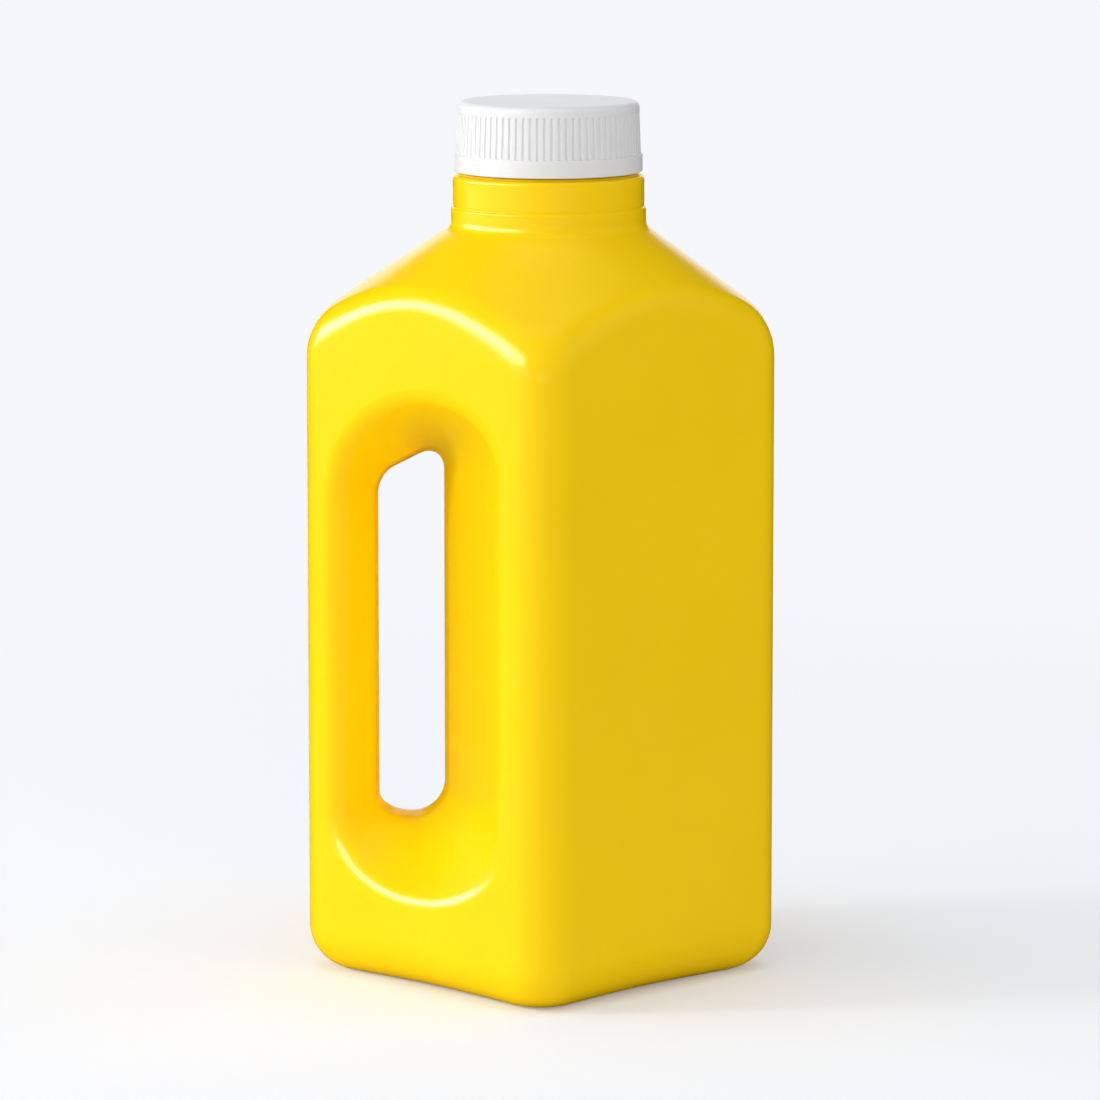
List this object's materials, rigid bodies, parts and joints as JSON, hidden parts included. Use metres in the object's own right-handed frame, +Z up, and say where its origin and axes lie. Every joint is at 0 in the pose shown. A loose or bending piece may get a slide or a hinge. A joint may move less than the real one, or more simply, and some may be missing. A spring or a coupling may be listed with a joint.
{
  "type": "handled plastic bottle",
  "caption": "Square yellow blow-moulded plastic bottle with a hollow grip through one corner and a white ribbed screw cap.",
  "frame": {"origin": "centre of the base, on the surface that the bottle stands on", "axes": "+Z up through the mouth; the grip corner points along -X; the parting plane of the mould is the XZ plane"},
  "size_m": [0.1348, 0.1348, 0.253],
  "materials": {
    "bottle": "satin",
    "cap": "satin",
    "liner": "matte"
  },
  "bodies": {
    "bottle_body": {"bottle": "bottle"},
    "seal_body": {"liner": "liner"},
    "cap_body": {"cap": "cap"}
  },
  "joints": [
    {"name": "cap_lift", "type": "slide", "parent": "bottle_body", "child": "seal_body", "axis": [0, 0, 1], "range_m": [0, 0.025]},
    {"name": "cap_turn", "type": "hinge", "parent": "seal_body", "child": "cap_body", "pos_m": [0.0023, 0, 0.24], "axis": [0, 0, 1], "range_deg": [0, 1801]}
  ],
  "couplings": [
    {"joint": "cap_turn", "follows": "cap_lift", "rad_per_m": 1256.6}
  ]
}
